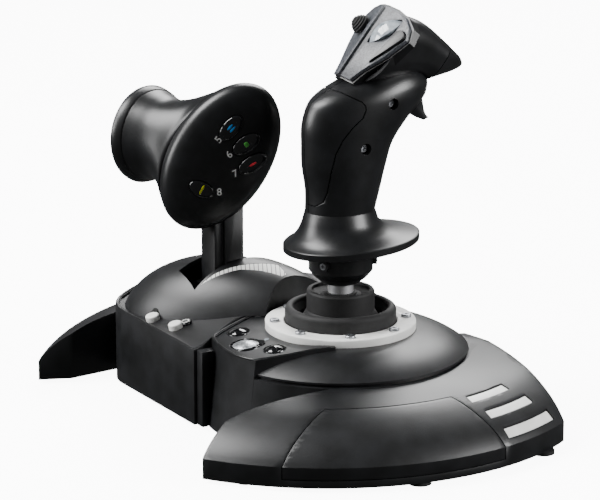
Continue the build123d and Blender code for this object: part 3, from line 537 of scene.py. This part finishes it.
def easeEdges(node, body, finish, slotName, radius):
    bpy.ops.object.select_all(action="DESELECT")
    source = frame["nodes"][node]
    source.select_set(True)
    bpy.context.view_layer.objects.active = source
    bpy.ops.object.duplicate(linked=False)
    piece = bpy.context.object
    piece.name = "eased_" + node
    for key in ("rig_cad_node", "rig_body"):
        if key in piece:
            del piece[key]
    piece.parent = None
    bpy.ops.object.mode_set(mode="EDIT")
    bpy.ops.mesh.select_all(action="SELECT")
    bpy.ops.mesh.remove_doubles(threshold=0.004 * mm)
    bpy.ops.mesh.dissolve_limited(angle_limit=math.radians(0.6))
    bpy.ops.mesh.customdata_custom_splitnormals_clear()
    bpy.ops.object.mode_set(mode="OBJECT")
    applyModifier(piece, "BEVEL", width=radius * mm, segments=2, limit_method="ANGLE",
                  angle_limit=math.radians(38),
                  use_clamp_overlap=True, harden_normals=False)
    activate(piece)
    bpy.ops.object.shade_smooth_by_angle(angle=math.radians(32))
    return dress(piece, finish, body, slotName, node)


# numbers and marks printed beside and on the thumb buttons
prints = {
    "numbers": {"5": (-39.6, 144.0, 52), "6": (-34.2, 135.6, 40), "7": (-31.2, 125.0, 24),
                "8": (-39.4, 115.2, 4)},
    "size": 5.6, "lift": 0.05,
}


def ink(name, colour, rough):
    # pad-printed ink: dense colour with a slight mottle where the pad lifted
    material, tree, shader, place = newMaterial(name)
    tree.links.new(mottled(tree, place, colour[0], colour[1], 1.2), shader.inputs["Base Color"])
    grain(tree, shader, place, 0.5, 0.004)
    shader.inputs["Roughness"].default_value = rough
    return material


whiteInk = ink("white pad-print ink", ("d8d8d6", "f2f2f0"), 0.5)
markInks = {
    5: ink("blue pad-print ink", ("1686d0", "2aa2ee"), 0.35),
    6: ink("green pad-print ink", ("3f9a3c", "58b84e"), 0.35),
    7: ink("red pad-print ink", ("c0202c", "dc3440"), 0.35),
    8: ink("yellow pad-print ink", ("b8bc20", "d4d832"), 0.35),
}


def flatText(name, text, spot, axes, size, finish, body):
    bpy.ops.object.text_add(location=(0, 0, 0))
    label = bpy.context.object
    label.name = name
    label.data.body = text
    label.data.size = size * mm
    label.data.align_x = "CENTER"
    label.data.align_y = "CENTER"
    label.data.extrude = 0.06 * mm
    label.data.offset = 0.07 * mm
    bpy.ops.object.convert(target="MESH")
    label.matrix_world = Matrix.Translation(Vector(spot) * mm) @ axes.to_4x4()
    settle(label, 30)
    return dress(label, finish, body, "white_abs")


def barMark(name, key, bars):
    # short rounded bars on a button, each as (across, up, half length, turn)
    y, z, long, short, lean = handle["buttons"][key]
    parts = []
    for index, (across, up, half, turn) in enumerate(bars):
        spot, axes = facePlace(y, z, 1.25, lean + turn)
        centre = spot + axes @ Vector((across, up, 0))
        rings = [(centre + axes.col[2] * d, axes, w, h) for d, w, h in
                 ((-0.5, half, 0.62), (0.08, half, 0.62), (0.14, half - 0.12, 0.5))]
        parts.append(loftRings(f"{name}{index}", rings, 24))
    bpy.ops.object.select_all(action="DESELECT")
    for part in parts:
        part.select_set(True)
    bpy.context.view_layer.objects.active = parts[0]
    bpy.ops.object.join()
    settle(parts[0], 30)
    return dress(parts[0], markInks[key], f"thumb_button_{key}", "gloss_black_abs")


def printMarks():
    for text, (y, z, lean) in prints["numbers"].items():
        spot, axes = facePlace(y, z, prints["lift"], lean)
        flatText("number" + text, text, spot, axes, prints["size"], whiteInk, "lever")
    barMark("markBars", 5, [(0, 0.9, 2.0, 0), (0, -0.9, 2.0, 0)])
    barMark("markDot", 6, [(0, 0, 1.3, 0), (0, 0.75, 1.2, 0), (0, -0.75, 1.2, 0)])
    barMark("markBar", 7, [(0, 0, 2.3, 0)])
    barMark("markCorner", 8, [(-0.9, 0, 1.7, 90), (0.9, 0, 1.7, 90)])


# small trim on the panels
trim = {
    # spot on the panel, radius of the middle line, thickness
    "rings": {"guideRing": ("guide_button", 8.3, 0.55), "viewRing": ("view_button", 5.9, 0.35),
              "menuRing": ("menu_button", 5.9, 0.35)},
    "modeButton": {"spot": (-58.8, -61.5), "radius": 3.4},
    "panelSlope": 0.13, "traySlope": 0.25, "trayFoot": (-77.0, 42.0),
    # rounded rims, as (x, y) along the edge, height at the edge and radius
    "trayRim": [(-22.4, -76.0), (-40, -76.0), (-70, -76.0), (-104, -76.0), (-110, -75.5), (-116, -73.8),
                (-120.6, -71.4),
                (-124.2, -68.2), (-126.8, -63.2), (-128.6, -57.6), (-130.4, -49), (-131.6, -41)],
    "panelRim": [(-39.4, -26), (-36.6, -38), (-32.2, -50), (-27.6, -59.5), (-25.8, -62.4), (-22.6, -64.2),
                 (-14, -66.5),
                 (0, -68.0), (10, -67.4), (19.6, -65.2), (22.0, -63.4), (24.4, -58), (28.6, -47),
                 (31.6, -36), (34.2, -26)],
}


def tilted(slope):
    return Matrix.Rotation(math.atan(slope), 3, "X")


def ringTrim(name, node, radius, thick, finish):
    low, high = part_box(node)
    axes = tilted(trim["panelSlope"])
    middle = (low + high) / 2 / mm
    foot = Vector((middle.x, middle.y, 50.3 + trim["panelSlope"] * (middle.y + 38)))
    rings = []
    for across, up in ((-thick, -0.6), (-thick, 0.1), (-thick * 0.5, 0.4), (thick * 0.5, 0.4),
                       (thick, 0.1), (thick, -0.6)):
        rings.append((foot + axes @ Vector((0, 0, up)), axes, radius + across, radius + across))
    piece = loftRings(name, rings, 48, (False, False))
    settle(piece, 50)
    return dress(piece, finish, "base", "satin_black_abs")


def rim(name, path, height, radius):
    # a rounded bead along an edge
    points = [Vector((x, y, height(y))) for x, y in path]
    rings = []
    for index, point in enumerate(points):
        ahead = points[min(index + 1, len(points) - 1)] - points[max(index - 1, 0)]
        axes = ahead.to_track_quat("Z", "Y").to_matrix()
        size = radius * (0.6 if index in (0, len(points) - 1) else 1.0)
        rings.append((point, axes, size, size))
    bead = loftRings(name, rings, 16)
    settle(bead, 60)
    return dress(bead, satinAbs, "base", "satin_black_abs")


def buildTrim():
    rim("trayRim", trim["trayRim"], lambda y: 42.9 + trim["traySlope"] * (y + 77), 0.95)
    rim("panelRim", trim["panelRim"], lambda y: min(51.5, 50.7 + trim["panelSlope"] * (y + 38)), 0.75)
    for name, (node, radius, thick) in trim["rings"].items():
        ringTrim(name, node, radius, thick, glossAbs)
    x, y = trim["modeButton"]["spot"]
    axes = tilted(trim["traySlope"])
    foot = Vector((x, y, trim["trayFoot"][1] + trim["traySlope"] * (y - trim["trayFoot"][0])))
    r = trim["modeButton"]["radius"]
    rings = [(foot + axes @ Vector((0, 0, up)), axes, r * k, r * k) for up, k in
             ((-1.0, 1.0), (0.9, 1.0), (1.25, 0.93), (1.4, 0.8), (1.45, 0.4), (1.46, 0.05))]
    knob = loftRings("modeButton", rings, 36)
    settle(knob, 50)
    dress(knob, glossAbs, "base", "gloss_black_abs")
    rings = [(foot + axes @ Vector((0, 0, up)), axes, r * k, r * k) for up, k in
             ((1.36, 0.66), (1.52, 0.66), (1.52, 0.5), (1.36, 0.5))]
    mark = loftRings("modeMark", rings, 36, (False, False))
    settle(mark, 50)
    dress(mark, whiteInk, "base", "white_abs")


buildHandle()
print("throttle handle modelled")
buildGrip()
buildHandRest()
print("grip modelled")
for node, (body, finish, slotName, radius) in easedEdges.items():
    easeEdges(node, body, finish, slotName, radius)
print("moulded parts eased")
printMarks()
buildTrim()
print("numbers, marks and trim made")

# camera, light and floor
studio = {
    "eye": (1.3979, -0.8318, 0.5341), "target": (-0.0190, -0.0138, 0.0896), "lens": 192.0,
    "key": {"place": (-0.45, -0.85, 1.25), "size": 0.8, "power": 44},
    "left": {"place": (-0.55, -1.2, 0.5), "size": 0.5, "power": 13},
    "side": {"place": (1.15, 1.05, 0.7), "size": 0.7, "power": 34},
    "back": {"place": (-1.0, 0.9, 1.2), "size": 0.9, "power": 34},
    "world": 0.1, "sweep": 9.0,
}


def addLamp(name, place, size, power):
    bpy.ops.object.light_add(type="AREA", location=place)
    lamp = bpy.context.object
    lamp.name = name
    lamp.data.shape = "SQUARE"
    lamp.data.size = size
    lamp.data.energy = power
    lamp.rotation_euler = (Vector((0, 0, 0.08)) - Vector(place)).to_track_quat("-Z", "Y").to_euler()


def buildStudio():
    bpy.ops.object.camera_add(location=studio["eye"])
    camera = bpy.context.object
    camera.name = "camera"
    look = Vector(studio["target"]) - Vector(studio["eye"])
    camera.rotation_euler = look.to_track_quat("-Z", "Y").to_euler()
    camera.data.lens = studio["lens"]
    camera.data.sensor_width = 36
    camera.data.clip_end = 20
    bpy.context.scene.camera = camera
    for name in ("key", "left", "side", "back"):
        addLamp(name + "Lamp", **studio[name])
    world = bpy.data.worlds.new("studio")
    world.use_nodes = True
    world.node_tree.nodes["Background"].inputs["Color"].default_value = (1, 1, 1, 1)
    world.node_tree.nodes["Background"].inputs["Strength"].default_value = studio["world"]
    bpy.context.scene.world = world
    bpy.ops.mesh.primitive_plane_add(size=12, location=(0, 0, 0))
    floor = bpy.context.object
    floor.name = "floor"
    paper, tree, shader, place = newMaterial("lit paper sweep")
    tree.links.new(mottled(tree, place, "fafafa", "ffffff", 300), shader.inputs["Base Color"])
    shader.inputs["Roughness"].default_value = 0.9
    shader.inputs["Emission Color"].default_value = (1, 1, 1, 1)
    shader.inputs["Emission Strength"].default_value = studio["sweep"]
    floor.visible_glossy = False
    floor.visible_diffuse = False
    floor.data.materials.append(paper)


buildStudio()
print("studio built")
